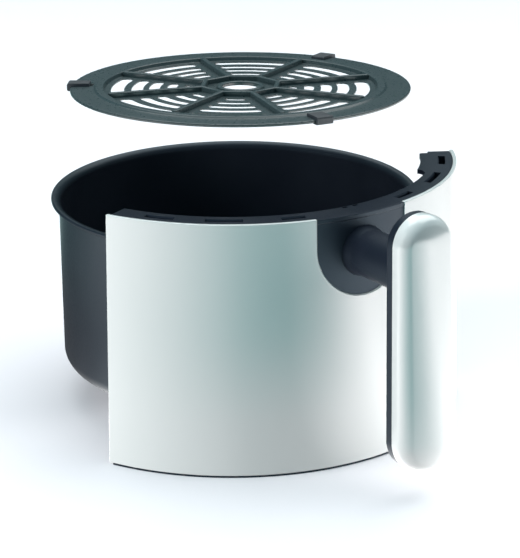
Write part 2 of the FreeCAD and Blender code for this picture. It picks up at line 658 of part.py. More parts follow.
def crowned_body(inset):
    """The cover's outer body, or its hollow when inset: a tapering crowned bar with two domed ends."""
    top_z = GRIP_TOP - GRIP_HALF_WIDTH_TOP
    foot_z = GRIP_FOOT + GRIP_HALF_WIDTH_FOOT
    top_sizes = (GRIP_HALF_WIDTH_TOP - inset, COVER_DEPTH_TOP - inset, 8.0 - inset, 50.0 - inset)
    foot_sizes = (GRIP_HALF_WIDTH_FOOT - inset, COVER_DEPTH_FOOT - inset, 9.5 - inset, 46.0 - inset)
    solids = []
    for x_sign in (-1, 1):
        top_wire = Part.Wire(crowned_section(*top_sizes, top_z, x_sign))
        foot_wire = Part.Wire(crowned_section(*foot_sizes, foot_z, x_sign))
        solids.append(Part.makeLoft([foot_wire, top_wire], True, True))
    for sizes, z, turn in ((top_sizes, top_z, 180), (foot_sizes, foot_z, -180)):
        half = Part.Face(Part.Wire(crowned_section(*sizes, z)))
        solids.append(half.revolve(Vector(0, 0, z), OUT, turn))
    return joined(solids[0], solids[1:])


GRIP_WALL = 2.2
PEG_HEIGHTS = (40.0, 82.0, 116.0, 160.0)
PEG_RADIUS = 2.4
PEG_REACH = 1.8               # how far the pegs go into the back's sockets


def grip_cover():
    """White crowned shell of the grip, with four locating pegs inside."""
    shell = crowned_body(0).cut(crowned_body(GRIP_WALL))
    pegs = []
    for z in PEG_HEIGHTS:
        from_top = (GRIP_TOP - z) / (GRIP_TOP - GRIP_FOOT)
        depth = COVER_DEPTH_TOP + (COVER_DEPTH_FOOT - COVER_DEPTH_TOP) * from_top
        pegs.append(rod(Vector(0, PEG_REACH - GRIP_PARTING, z), OUT, PEG_REACH + depth - 1.0, PEG_RADIUS))
    cover = joined(shell, pegs)
    cover.Placement = grip_placement().multiply(cover.Placement)
    return cover


def back_outline(inset, depth_from, depth_to, rounding):
    """Stadium-shaped plate of the grip's back, depths measured inwards from the parting plane."""
    top_radius = GRIP_HALF_WIDTH_TOP - inset
    foot_radius = GRIP_HALF_WIDTH_FOOT - inset
    top_z = GRIP_TOP - GRIP_HALF_WIDTH_TOP
    foot_z = GRIP_FOOT + GRIP_HALF_WIDTH_FOOT
    y = -GRIP_PARTING + depth_from
    wire = Part.Wire([
        Part.LineSegment(Vector(-foot_radius, y, foot_z), Vector(-top_radius, y, top_z)).toShape(),
        Part.Arc(Vector(-top_radius, y, top_z), Vector(0, y, top_z + top_radius),
                 Vector(top_radius, y, top_z)).toShape(),
        Part.LineSegment(Vector(top_radius, y, top_z), Vector(foot_radius, y, foot_z)).toShape(),
        Part.Arc(Vector(foot_radius, y, foot_z), Vector(0, y, foot_z - foot_radius),
                 Vector(-foot_radius, y, foot_z)).toShape(),
    ])
    plate = Part.Face(wire).extrude(Vector(0, depth_to - depth_from, 0))
    if rounding == 0:
        return plate
    back_y = -GRIP_PARTING + depth_to
    back_edges = [edge for edge in plate.Edges if abs(edge.BoundBox.YMin - back_y) < 0.01
                  and abs(edge.BoundBox.YMax - back_y) < 0.01]
    return plate.makeFillet(rounding, back_edges)


def grip_back():
    """Dark back of the grip: a shallow rounded tray with cross ribs and a pad over the neck."""
    tray = back_outline(0.2, 0, GRIP_BACK_DEPTH, 1.8)
    pocket = back_outline(0.2 + GRIP_WALL, 0, GRIP_BACK_DEPTH - GRIP_WALL, 0)
    body = tray.cut(pocket)
    ribs = [Part.makeBox(34, GRIP_BACK_DEPTH - 1.5, 1.6, Vector(-17, -GRIP_PARTING + 0.6, z))
            for z in (60.0, 100.0)]
    pad = rod(Vector(0, -GRIP_PARTING + 0.6, NECK_HEIGHT), INWARD, GRIP_BACK_DEPTH - 1.5, 14.0)
    sockets = [rod(Vector(0, -GRIP_PARTING + 0.1, z), INWARD, GRIP_BACK_DEPTH - 1, PEG_RADIUS + 2.0)
               for z in PEG_HEIGHTS]
    body = joined(body, ribs + [pad] + sockets)
    cuts = []
    for x in GRIP_SCREW_OFFSETS:
        cuts.append(rod(Vector(x, -GRIP_PARTING - 5, NECK_HEIGHT), INWARD, 20, SMALL_HOLE_RADIUS))
    for z in PEG_HEIGHTS:
        mouth = Vector(0, -GRIP_PARTING - 1, z)
        cuts.append(rod(mouth, INWARD, PEG_REACH + 1.3, PEG_RADIUS + HOLE_PLAY))
    body = body.cut(cuts)
    body.Placement = grip_placement().multiply(body.Placement)
    return body


def grip_screws():
    """Two screws from inside the grip into the end of the neck."""
    screws = []
    for x in GRIP_SCREW_OFFSETS:
        head_height = 2.0
        head_top = Vector(x, -GRIP_PARTING + 0.6 - head_height - HOLE_PLAY, NECK_HEIGHT)
        one = screw(head_top, INWARD, 12.0, SMALL_SCREW_RADIUS, 3.0, head_height)
        one.Placement = grip_placement().multiply(one.Placement)
        screws.append(one)
    return screws


# ---- grid ----------------------------------------------------------------------------------------------

RIB_COUNT = 8
RIB_TURN = -15.8              # azimuth of one rib
RIB_HALF_WIDTH = 1.8
RIB_END_RADIUS = 86.0
FLOOR_TOP = -1.6              # levels are measured from the top of the flange
FLOOR_BOTTOM = -2.4
RIB_TOP = 1.6
FLANGE_BOTTOM = -1.9
HUB_HOLE = 11.7
HUB_RIM = 25.5                # corners of the octagonal rim round the hub, on its middle line
RIM_HALF_WIDTH = 1.6
BAR_ROUNDING = 0.9
SLOT_ROWS = ((31.2, 36.4), (41.2, 47.5), (52.0, 59.0), (62.7, 70.2), (74.9, 83.4))
SLOT_MARGIN = 6.6             # from a rib's middle line to a slot's end
PAD_AZIMUTHS = {"grid_pad_right": 24.2, "grid_pad_left": 144.2, "grid_pad_front": 264.2}
PAD_HALF_WIDTH = 5.5


def held(solid):
    """Moves a grid piece from the flat it is drawn on to where the hand holds it."""
    lowest = math.radians(GRID_TIP_TOWARDS)
    tip_axis = Vector(-math.sin(lowest), math.cos(lowest), 0)
    turn = FreeCAD.Rotation(tip_axis, GRID_TIP)
    offset = math.radians(GRID_OFFSET_TOWARDS)
    place = Vector(GRID_OFFSET * math.cos(offset), GRID_OFFSET * math.sin(offset), GRID_HEIGHT)
    solid.Placement = FreeCAD.Placement(place, turn).multiply(solid.Placement)
    return solid


def from_front(azimuth):
    """An azimuth from +X, as an angle from the handle."""
    return azimuth + 90


def round_bar(start, end, half_width):
    """A bar on the grid's floor between two points, with a rounded top and round ends."""
    low = FLOOR_BOTTOM + 0.3
    along = end - start
    across = UP.cross(along).normalize()
    section = [(-half_width, low, 0), (half_width, low, 0),
               (half_width, RIB_TOP, BAR_ROUNDING), (-half_width, RIB_TOP, BAR_ROUNDING)]
    half_section = [(0, low, 0), (half_width, low, 0), (half_width, RIB_TOP, BAR_ROUNDING), (0, RIB_TOP, 0)]
    bar = Part.Face(rounded_wire(section, lambda p: start + across * p.x + UP * p.y)).extrude(along)
    tips = []
    for foot, turn in ((start, 180), (end, -180)):
        half = Part.Face(rounded_wire(half_section, lambda p: foot + across * p.x + UP * p.y))
        tips.append(half.revolve(foot, UP, turn))
    return joined(bar, tips)


def flat_grid():
    """The grid plate, lying level with the top of its flange at height 0."""
    plate = turned([
        (GRID_RADIUS, 0, 0.9),
        (GRID_RADIUS, FLANGE_BOTTOM, 0.7),
        (90.0, FLANGE_BOTTOM, 0.5),
        (88.8, FLOOR_BOTTOM, 0.5),
        (HUB_HOLE, FLOOR_BOTTOM, 0.4),
        (HUB_HOLE, 0.2, 0.8),
        (HUB_HOLE + 3.4, 0.2, 0.8),
        (HUB_HOLE + 3.8, FLOOR_TOP, 0.5),
        (87.2, FLOOR_TOP, 0.6),
        (88.2, 1.0, 0.9),
        (93.2, 1.0, 0.9),
        (94.4, 0, 0.5),
    ])
    bars = []
    for step in range(RIB_COUNT):
        angle = from_front(RIB_TURN + 45 * step)
        hub_corner = spot(HUB_RIM, angle, 0)
        bars.append(round_bar(hub_corner, spot(RIB_END_RADIUS, angle, 0), RIB_HALF_WIDTH))
        bars.append(round_bar(hub_corner, spot(HUB_RIM, angle + 45, 0), RIM_HALF_WIDTH))
    plate = joined(plate, bars)
    cuts = []
    for inner, outer in SLOT_ROWS:
        middle = (inner + outer) / 2
        end_round = (outer - inner) / 2
        margin = math.degrees((SLOT_MARGIN + end_round) / middle)
        for step in range(RIB_COUNT):
            rib_angle = from_front(RIB_TURN + 45 * step)
            cuts.append(arc_slot(inner, outer, rib_angle + margin, rib_angle + 45 - margin, -6, 6))
    for azimuth in PAD_AZIMUTHS.values():
        hole = Part.makeBox(7, 4.5, 8, Vector(-3.5, -99.6, -4))
        hole.rotate(ORIGIN, UP, from_front(azimuth))
        cuts.append(hole)
    return plate.cut(cuts)


def grid_pad(azimuth, plate):
    """Silicone pad clipped over the grid's edge and through its hole, lying level like the plate."""
    half_turn = math.degrees(PAD_HALF_WIDTH / PAD_TIP_RADIUS)
    block = ring_block(97.2, PAD_TIP_RADIUS, FLANGE_BOTTOM - 1.0, 2.0, -half_turn, half_turn, 1.2)
    block.rotate(ORIGIN, UP, from_front(azimuth))
    return block.cut(plate)


# ---- the whole pan -------------------------------------------------------------------------------------

def parts():
    """Every node's name with its solid, or its list of separate solids."""
    nodes = {
        "pot": pot(),
        "pot_studs": pot_studs(),
        "pot_spacers": pot_spacers(),
        "base_tray": base_tray(),
        "stud_washers": stud_washers(),
        "stud_nuts": stud_nuts(),
        "base_screws": base_screws(),
        "inner_shell": inner_shell(),
        "front_panel": front_panel(),
        "panel_screws": panel_screws(),
        "top_frame": top_frame(),
        "frame_screws": frame_screws(),
        "heat_shield": heat_shield(),
        "shield_screws": shield_screws(),
        "mounting_bracket": mounting_bracket(),
        "bracket_rivets": bracket_rivets(),
        "handle_insert": handle_insert(),
        "handle_neck": handle_neck(),
        "neck_screws": neck_screws(),
        "grip_back": grip_back(),
        "grip_cover": grip_cover(),
        "grip_screws": grip_screws(),
    }
    plate = flat_grid()
    for name, azimuth in PAD_AZIMUTHS.items():
        nodes[name] = held(grid_pad(azimuth, plate))
    nodes["grid_plate"] = held(plate)
    return nodes


def main():
    os.makedirs("parts", exist_ok=True)
    for name, shape in parts().items():
        solids = shape if isinstance(shape, list) else [shape]
        for solid in solids:
            if not solid.isValid() or len(solid.Solids) != 1:
                print("check", name, "valid", solid.isValid(), "solids", len(solid.Solids))
        whole = Part.makeCompound(solids) if len(solids) > 1 else solids[0]
        whole.exportStep("parts/" + name + ".step")
    print("wrote the parts")


main()
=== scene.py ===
"""Looks of the fryer pan: camera, studio, materials, and the detailed pieces that stand for CAD nodes.

Metres, in the CAD frame: +Z up, the handle towards -Y, the pot's axis on Z. Angles round the pot are
measured from the handle, positive towards +X, as in the CAD source.
"""
import json
import math

import bmesh
import bpy
from mathutils import Matrix, Vector


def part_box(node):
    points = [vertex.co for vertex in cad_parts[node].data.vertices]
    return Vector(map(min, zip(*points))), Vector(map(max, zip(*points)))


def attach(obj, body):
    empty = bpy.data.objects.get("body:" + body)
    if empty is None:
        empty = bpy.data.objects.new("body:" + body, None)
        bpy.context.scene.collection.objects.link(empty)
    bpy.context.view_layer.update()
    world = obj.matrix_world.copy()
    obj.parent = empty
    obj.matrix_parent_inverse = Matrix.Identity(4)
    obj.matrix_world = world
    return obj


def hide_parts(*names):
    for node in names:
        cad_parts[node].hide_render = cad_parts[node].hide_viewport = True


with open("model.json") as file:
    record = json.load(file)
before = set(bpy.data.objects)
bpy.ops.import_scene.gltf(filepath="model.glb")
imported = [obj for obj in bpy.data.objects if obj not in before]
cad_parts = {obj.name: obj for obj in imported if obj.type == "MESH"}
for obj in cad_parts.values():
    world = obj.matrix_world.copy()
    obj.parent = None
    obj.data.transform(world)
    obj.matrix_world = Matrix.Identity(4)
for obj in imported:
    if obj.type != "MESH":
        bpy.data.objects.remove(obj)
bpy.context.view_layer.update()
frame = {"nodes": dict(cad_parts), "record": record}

MM = 0.001

# ---- helpers for places --------------------------------------------------------------------------------

CAMERA_AZIMUTH = math.radians(-32.8)        # how far round from the handle the camera stands
WHOLE_TURN = 2 * math.pi


def spot(radius, angle, z):
    """The point at a radius, an angle in degrees from the handle, and a height."""
    turn = math.radians(angle)
    return Vector((radius * math.sin(turn), -radius * math.cos(turn), z))


def beside_camera(right, ahead, up):
    """A point given by metres to the right of, and beyond, the pot as the camera sees it."""
    forward = Vector((-math.sin(CAMERA_AZIMUTH), math.cos(CAMERA_AZIMUTH), 0))
    side = Vector((math.cos(CAMERA_AZIMUTH), math.sin(CAMERA_AZIMUTH), 0))
    return forward * ahead + side * right + Vector((0, 0, up))


# ---- helpers for shader nodes --------------------------------------------------------------------------

NOISE_LOW, NOISE_HIGH = 0.3, 0.7            # nearly all of a noise texture's values lie between these


def new_material(name):
    """A material with a Principled shader; returns the material, its node tree and the shader."""
    material = bpy.data.materials.new(name)
    material.use_nodes = True
    tree = material.node_tree
    return material, tree, tree.nodes["Principled BSDF"]


def noise(tree, scale, detail=3.0, roughness=0.5, stretch=None):
    """Noise in the piece's own coordinates; stretch scales the axes unevenly."""
    place = tree.nodes.new("ShaderNodeTexCoord").outputs["Object"]
    texture = tree.nodes.new("ShaderNodeTexNoise")
    texture.inputs["Scale"].default_value = scale
    texture.inputs["Detail"].default_value = detail
    texture.inputs["Roughness"].default_value = roughness
    if stretch is not None:
        mapping = tree.nodes.new("ShaderNodeMapping")
        mapping.inputs["Scale"].default_value = stretch
        tree.links.new(place, mapping.inputs["Vector"])
        place = mapping.outputs["Vector"]
    tree.links.new(place, texture.inputs["Vector"])
    return texture.outputs["Fac"]


def spread(tree, value, low, high, from_low=NOISE_LOW, from_high=NOISE_HIGH):
    """Maps a value onto the range from low to high."""
    node = tree.nodes.new("ShaderNodeMapRange")
    node.inputs["From Min"].default_value = from_low
    node.inputs["From Max"].default_value = from_high
    node.inputs["To Min"].default_value = low
    node.inputs["To Max"].default_value = high
    tree.links.new(value, node.inputs["Value"])
    return node.outputs["Result"]


def blend_colours(tree, value, first, last):
    """A ramp between two (position, linear colour) stops."""
    ramp = tree.nodes.new("ShaderNodeValToRGB")
    for stop, (position, colour) in zip(ramp.color_ramp.elements, (first, last)):
        stop.position = position
        stop.color = (*colour, 1)
    tree.links.new(value, ramp.inputs["Fac"])
    return ramp.outputs["Color"]


def colour_by(tree, shader, value, dark, light):
    """The base colour follows a noise value between two linear colours."""
    colour = blend_colours(tree, value, (NOISE_LOW, dark), (NOISE_HIGH, light))
    tree.links.new(colour, shader.inputs["Base Color"])


def roughness_by(tree, shader, value, low, high):
    """The roughness follows a noise value between two limits."""
    tree.links.new(spread(tree, value, low, high), shader.inputs["Roughness"])


def bump_by(tree, shader, value, distance, strength):
    """The surface's relief follows a noise value."""
    node = tree.nodes.new("ShaderNodeBump")
    node.inputs["Distance"].default_value = distance
    node.inputs["Strength"].default_value = strength
    tree.links.new(value, node.inputs["Height"])
    tree.links.new(node.outputs["Normal"], shader.inputs["Normal"])


# ---- materials -----------------------------------------------------------------------------------------

def white_gloss():
    """Injection-moulded white plastic: high gloss, with a faint flow mottle and moulding ripple."""
    material, tree, shader = new_material("white_gloss_plastic")
    flow = noise(tree, scale=14.0, detail=4.0, roughness=0.55, stretch=(1, 1, 0.35))
    fine = noise(tree, scale=260.0, detail=2.0)
    ripple = noise(tree, scale=38.0, detail=1.0)
    colour_by(tree, shader, flow, dark=(0.70, 0.735, 0.73), light=(0.745, 0.77, 0.765))
    roughness_by(tree, shader, fine, 0.20, 0.26)
    bump_by(tree, shader, ripple, distance=0.12 * MM, strength=0.10)
    shader.inputs["IOR"].default_value = 1.58
    shader.inputs["Coat Weight"].default_value = 0.8
    shader.inputs["Coat IOR"].default_value = 1.55
    shader.inputs["Coat Roughness"].default_value = 0.13
    return material


def dark_satin():
    """Slate grey plastic with a fine spark-eroded grain."""
    material, tree, shader = new_material("dark_satin_plastic")
    cloud = noise(tree, scale=30.0)
    grain = noise(tree, scale=1500.0, detail=2.0, roughness=0.6)
    colour_by(tree, shader, cloud, dark=(0.008, 0.011, 0.019), light=(0.012, 0.015, 0.025))
    roughness_by(tree, shader, grain, 0.40, 0.52)
    bump_by(tree, shader, grain, distance=0.08 * MM, strength=0.35)
    shader.inputs["IOR"].default_value = 1.42
    shader.inputs["Specular IOR Level"].default_value = 0.3
    shader.inputs["Specular Tint"].default_value = (0.62, 0.86, 1.0, 1)
    return material


def coated_steel():
    """Non-stick coating on drawn steel: near black, semi-gloss, with a sprayed orange peel."""
    material, tree, shader = new_material("non_stick_pot")
    cloud = noise(tree, scale=22.0, detail=4.0)
    peel = noise(tree, scale=620.0, detail=2.0)
    colour_by(tree, shader, cloud, dark=(0.009, 0.012, 0.019), light=(0.013, 0.017, 0.025))
    roughness_by(tree, shader, peel, 0.34, 0.42)
    bump_by(tree, shader, peel, distance=0.06 * MM, strength=0.22)
    shader.inputs["IOR"].default_value = 1.42
    shader.inputs["Specular IOR Level"].default_value = 0.4
    shader.inputs["Specular Tint"].default_value = (0.66, 0.88, 1.0, 1)
    return material


def coated_grid():
    """Satin non-stick coating on the pressed grid, with fine mineral speckle."""
    material, tree, shader = new_material("non_stick_grid")
    speckle = noise(tree, scale=1900.0, detail=2.0, roughness=0.7)
    peel = noise(tree, scale=500.0, detail=2.0)
    colour_by(tree, shader, speckle, dark=(0.020, 0.034, 0.038), light=(0.036, 0.054, 0.058))
    roughness_by(tree, shader, peel, 0.26, 0.36)
    bump_by(tree, shader, peel, distance=0.06 * MM, strength=0.25)
    shader.inputs["IOR"].default_value = 1.52
    return material


def silicone():
    """Matt black silicone rubber with a slight bloom."""
    material, tree, shader = new_material("silicone_rubber")
    bloom = noise(tree, scale=160.0)
    grain = noise(tree, scale=1400.0, detail=2.0)
    colour_by(tree, shader, bloom, dark=(0.018, 0.022, 0.028), light=(0.027, 0.032, 0.039))
    roughness_by(tree, shader, grain, 0.52, 0.66)
    bump_by(tree, shader, grain, distance=0.05 * MM, strength=0.3)
    return material


def steel():
    """Zinc-plated steel with fine drawn lines."""
    material, tree, shader = new_material("plated_steel")
    lines = noise(tree, scale=900.0, roughness=0.6, stretch=(1, 1, 0.04))
    colour_by(tree, shader, lines, dark=(0.42, 0.43, 0.45), light=(0.60, 0.61, 0.62))
    roughness_by(tree, shader, lines, 0.26, 0.42)
    bump_by(tree, shader, lines, distance=0.03 * MM, strength=0.2)
    shader.inputs["Metallic"].default_value = 1.0
    return material


# By the record's material slots
MATERIALS = {
    "white_gloss": white_gloss(),
    "dark_plastic": dark_satin(),
    "coated_steel": coated_steel(),
    "coated_grid": coated_grid(),
    "silicone": silicone(),
    "steel": steel(),
}


def paint(piece, slot_name):
    """Gives a piece the material of one of the record's slots."""
    piece.data.materials.clear()
    piece.data.materials.append(MATERIALS[slot_name])


# ---- mesh helpers --------------------------------------------------------------------------------------

WELD_DISTANCE = 0.002 * MM                  # corners of CAD faces closer than this become one
SHARP_EDGE = math.radians(30)               # CAD edges over this angle stay sharp
FLATNESS_WEIGHT = 80                        # how much more large faces say in the shading than small ones
MERGE_DISTANCE = 0.001 * MM                 # vertices of a new piece closer than this become one


def shade_smooth(mesh):
    """Marks every face of a mesh as smooth."""
    mesh.polygons.foreach_set("use_smooth", [True] * len(mesh.polygons))


def even_shading(piece):
    """Weights a piece's shading by face area; returns the modifier."""
    weighted = piece.modifiers.new("even_shading", "WEIGHTED_NORMAL")
    weighted.weight = FLATNESS_WEIGHT
    return weighted


def finish_cad_nodes():
    """Materials and smooth shading on every CAD node; its sharp edges stay sharp."""
    for row in frame["record"]["subparts"]:
        node = frame["nodes"][row["node"]]
        paint(node, row["material_slot"])
        shade_smooth(node.data)
        weld = node.modifiers.new("weld", "WELD")
        weld.merge_threshold = WELD_DISTANCE
        split = node.modifiers.new("sharp_edges", "EDGE_SPLIT")
        split.split_angle = SHARP_EDGE
        even_shading(node)


def plain_reflections():
    """Leaves the grip out of the panel's gloss, because the photo shows no mirror image of it."""
    for name in ("grip_cover", "grip_back"):
        frame["nodes"][name].visible_glossy = False


def sheet_faces(rows, columns, offset=0, flip=False, wrap=False):
    """Quads between neighbouring rows of a rows x columns block of vertices."""
    faces = []
    last = columns if wrap else columns - 1
    for row in range(rows - 1):
        for column in range(last):
            right = (column + 1) % columns
            quad = (row * columns + column, row * columns + right,
                    (row + 1) * columns + right, (row + 1) * columns + column)
            quad = tuple(index + offset for index in quad)
            faces.append(quad[::-1] if flip else quad)
    return faces


def piece_from(name, vertices, faces, node, slot_name, body):
    """A smooth mesh piece that stands for a CAD node."""
    mesh = bpy.data.meshes.new(name)
    mesh.from_pydata([tuple(v) for v in vertices], [], faces)
    work = bmesh.new()
    work.from_mesh(mesh)
    bmesh.ops.remove_doubles(work, verts=work.verts, dist=MERGE_DISTANCE)
    bmesh.ops.recalc_face_normals(work, faces=work.faces)
    work.to_mesh(mesh)
    work.free()
    shade_smooth(mesh)
    piece = bpy.data.objects.new(name, mesh)
    bpy.context.scene.collection.objects.link(piece)
    paint(piece, slot_name)
    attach(piece, body)
    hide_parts(node)
    return piece


def along(points, count):
    """Points spaced evenly by length along a polyline of (x, y) pairs."""
    lengths = [0.0]
    for first, second in zip(points, points[1:]):
        lengths.append(lengths[-1] + math.dist(first, second))
    spaced = []
    segment = 0
    for step in range(count):
        target = lengths[-1] * step / (count - 1)
        while segment < len(points) - 2 and lengths[segment + 1] < target:
            segment += 1
        span = lengths[segment + 1] - lengths[segment]
        share = (target - lengths[segment]) / span
        (x0, y0), (x1, y1) = points[segment], points[segment + 1]
        spaced.append((x0 + (x1 - x0) * share, y0 + (y1 - y0) * share))
    return spaced


# ---- front panel ---------------------------------------------------------------------------------------

PANEL_LOW, PANEL_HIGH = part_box("front_panel")
PANEL_BOTTOM_Z = PANEL_LOW.z
PANEL_TOP_Z = PANEL_HIGH.z
PANEL_HEIGHT = PANEL_TOP_Z - PANEL_BOTTOM_Z
PANEL_RADIUS_BOTTOM = -PANEL_LOW.y          # its lowest edge reaches furthest to the front
PANEL_FLARE = 3.7 * MM                      # how much larger its radius is at the bottom than at the top
PANEL_THICKNESS = 2.5 * MM
PANEL_LEFT_END, PANEL_RIGHT_END = -65.4, 62.2
PANEL_EDGE_ROUNDING = 0.7 * MM
ROUNDING_SEGMENTS = 3
ROUNDED_EDGE = math.radians(40)             # edges over this angle are rounded
CUT_HALF_WIDTH = 32.4 * MM
CUT_BOTTOM = 109.8 * MM
CUT_ARC_STEPS = 48
SIDE_STEPS = 28
BOTTOM_STEPS = 72
PANEL_ROWS = 56                             # of vertices, from the cut-out's edge to the panel's


def panel_radius(z):
    """Outside radius of the panel's cone at a height."""
    share = (z - PANEL_BOTTOM_Z) / PANEL_HEIGHT
    return PANEL_RADIUS_BOTTOM - PANEL_FLARE * share


def cut_outline(count):
    """The cut-out's U as (angle, height) pairs, from the panel's top edge down, round and up again."""
    arc_z = CUT_BOTTOM + CUT_HALF_WIDTH
    edge = [(-CUT_HALF_WIDTH, PANEL_TOP_Z), (-CUT_HALF_WIDTH, arc_z)]
    for step in range(1, CUT_ARC_STEPS + 1):
        turn = math.pi * step / CUT_ARC_STEPS
        edge.append((-CUT_HALF_WIDTH * math.cos(turn), arc_z - CUT_HALF_WIDTH * math.sin(turn)))
    edge.append((CUT_HALF_WIDTH, PANEL_TOP_Z))
    return [(math.degrees(math.asin(x / panel_radius(z))), z) for x, z in along(edge, count)]


def panel_outline():
    """The panel's edge as (angle, height) pairs: down its left end, along the bottom, up its right end."""
    edge = []
    for step in range(SIDE_STEPS):
        edge.append((PANEL_LEFT_END, PANEL_TOP_Z - PANEL_HEIGHT * step / SIDE_STEPS))
    for step in range(BOTTOM_STEPS + 1):
        share = step / BOTTOM_STEPS
        edge.append((PANEL_LEFT_END + (PANEL_RIGHT_END - PANEL_LEFT_END) * share, PANEL_BOTTOM_Z))
    for step in range(1, SIDE_STEPS + 1):
        edge.append((PANEL_RIGHT_END, PANEL_BOTTOM_Z + PANEL_HEIGHT * step / SIDE_STEPS))
    return edge


def panel_piece():
    """The white panel: a horseshoe of quads from the cut-out's edge to the panel's, with thickness."""
    outer = panel_outline()
    count = len(outer)
    inner = cut_outline(count)
    vertices = []
    for depth in (0.0, PANEL_THICKNESS):
        for row in range(PANEL_ROWS):
            share = row / (PANEL_ROWS - 1)
            for (angle_0, z_0), (angle_1, z_1) in zip(inner, outer):
                angle = angle_0 + (angle_1 - angle_0) * share
                z = z_0 + (z_1 - z_0) * share
                vertices.append(spot(panel_radius(z) - depth, angle, z))
    block = PANEL_ROWS * count
    faces = sheet_faces(PANEL_ROWS, count) + sheet_faces(PANEL_ROWS, count, block, flip=True)
    border = list(range(count))
    border += [row * count + count - 1 for row in range(1, PANEL_ROWS)]
    border += [(PANEL_ROWS - 1) * count + column for column in range(count - 2, -1, -1)]
    border += [row * count for row in range(PANEL_ROWS - 2, 0, -1)]
    for here, there in zip(border, border[1:] + border[:1]):
        faces.append((here, here + block, there + block, there))
    piece = piece_from("front_panel_shell", vertices, faces, "front_panel", "white_gloss", "pan")
    bevel = piece.modifiers.new("rounded_edges", "BEVEL")
    bevel.width = PANEL_EDGE_ROUNDING
    bevel.segments = ROUNDING_SEGMENTS
    bevel.limit_method = "ANGLE"
    bevel.angle_limit = ROUNDED_EDGE
    even_shading(piece).keep_sharp = False


# ---- pot -----------------------------------------------------------------------------------------------

POT_LOW, POT_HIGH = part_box("pot")
POT_LIP_RADIUS = POT_HIGH.y                 # outside of the rolled lip
POT_SHEET = 1.4 * MM                        # thickness of the metal
POT_WALL_TOP = 114.95 * MM                  # outside radius of the wall at its top
POT_WALL_FOOT = 114.6 * MM                  # and at its foot
POT_BEND = 10.2 * MM                        # outside radius of the bend from wall to floor
POT_SEGMENTS = 360
BEND_STEPS = 20
LIP_BEAD = 1.3 * MM                         # the lip's edge is rolled into a bead of this radius
BEAD_STEPS = 26
LIP_FLARE_INSIDE = 5.0 * MM                 # radius of the bend from wall to lip, inside the pot
FLARE_STEPS_INSIDE = 12
LIP_FLARE_OUTSIDE = 1.5 * MM                # and outside the pot
FLARE_STEPS_OUTSIDE = 8
FLOOR_RING = 72.0 * MM                      # radius of the middle of the ring pressed into the floor
FLOOR_RING_HALF = 2.2 * MM
FLOOR_RING_RISE = 1.0 * MM
FLOOR_RING_STEPS = 14


def arc_points(centre, radius, start, end, steps):
    """Points on an arc in the (radius, height) plane, angles in degrees."""
    points = []
    for step in range(steps + 1):
        turn = math.radians(start + (end - start) * step / steps)
        points.append((centre[0] + radius * math.cos(turn), centre[1] + radius * math.sin(turn)))
    return points


def lathe(profile, segments):
    """Vertices and faces of a closed profile of (radius, height) turned about Z."""
    vertices = []
    for radius, height in profile:
        for step in range(segments):
            turn = WHOLE_TURN * step / segments
            vertices.append(Vector((radius * math.cos(turn), radius * math.sin(turn), height)))
    return vertices, sheet_faces(len(profile), segments, wrap=True)


def floor_ring(level):
    """The pressed ring's rounded rise in one side of the floor, from its inner to its outer edge."""
    points = []
    for step in range(FLOOR_RING_STEPS + 1):
        share = step / FLOOR_RING_STEPS
        rise = FLOOR_RING_RISE * math.sin(math.pi * share) ** 2
        points.append((FLOOR_RING + FLOOR_RING_HALF * (2 * share - 1), level + rise))
    return points


def pot_piece():
    """The drawn pot: ringed floor, bent foot, straight wall, flared rim and a beaded edge."""
    bend = (POT_WALL_FOOT - POT_BEND, POT_LOW.z + POT_BEND)
    under_lip = POT_HIGH.z - POT_SHEET
    floor_top = POT_LOW.z + POT_SHEET
    bead = (POT_LIP_RADIUS - LIP_BEAD, POT_HIGH.z - LIP_BEAD)
    flare_out = (POT_WALL_TOP + LIP_FLARE_OUTSIDE, under_lip - LIP_FLARE_OUTSIDE)
    flare_in = (POT_WALL_TOP - POT_SHEET + LIP_FLARE_INSIDE, POT_HIGH.z - LIP_FLARE_INSIDE)
    profile = [(0.0, POT_LOW.z)] + floor_ring(POT_LOW.z)
    profile += arc_points(bend, POT_BEND, -90, 0, BEND_STEPS)
    profile += arc_points(flare_out, LIP_FLARE_OUTSIDE, 180, 90, FLARE_STEPS_OUTSIDE)
    profile += arc_points(bead, LIP_BEAD, 180, 450, BEAD_STEPS)
    profile += arc_points(flare_in, LIP_FLARE_INSIDE, 90, 180, FLARE_STEPS_INSIDE)
    profile += arc_points(bend, POT_BEND - POT_SHEET, 0, -90, BEND_STEPS)
    profile += floor_ring(floor_top)[::-1] + [(0.0, floor_top)]
    vertices, faces = lathe(profile, POT_SEGMENTS)
    piece_from("pot_bowl", vertices, faces, "pot", "coated_steel", "pan")


# ---- camera --------------------------------------------------------------------------------------------

CAMERA_DISTANCE = 1.3671
CAMERA_HEIGHT = 0.5609
CAMERA_PITCH = 0.3404
CAMERA_YAW = 0.0119
CAMERA_ROLL = -0.0053
SENSOR_WIDTH = 36.0                         # millimetres, and so is the lens
LENS = 140.74
VIEW_END = 100.0


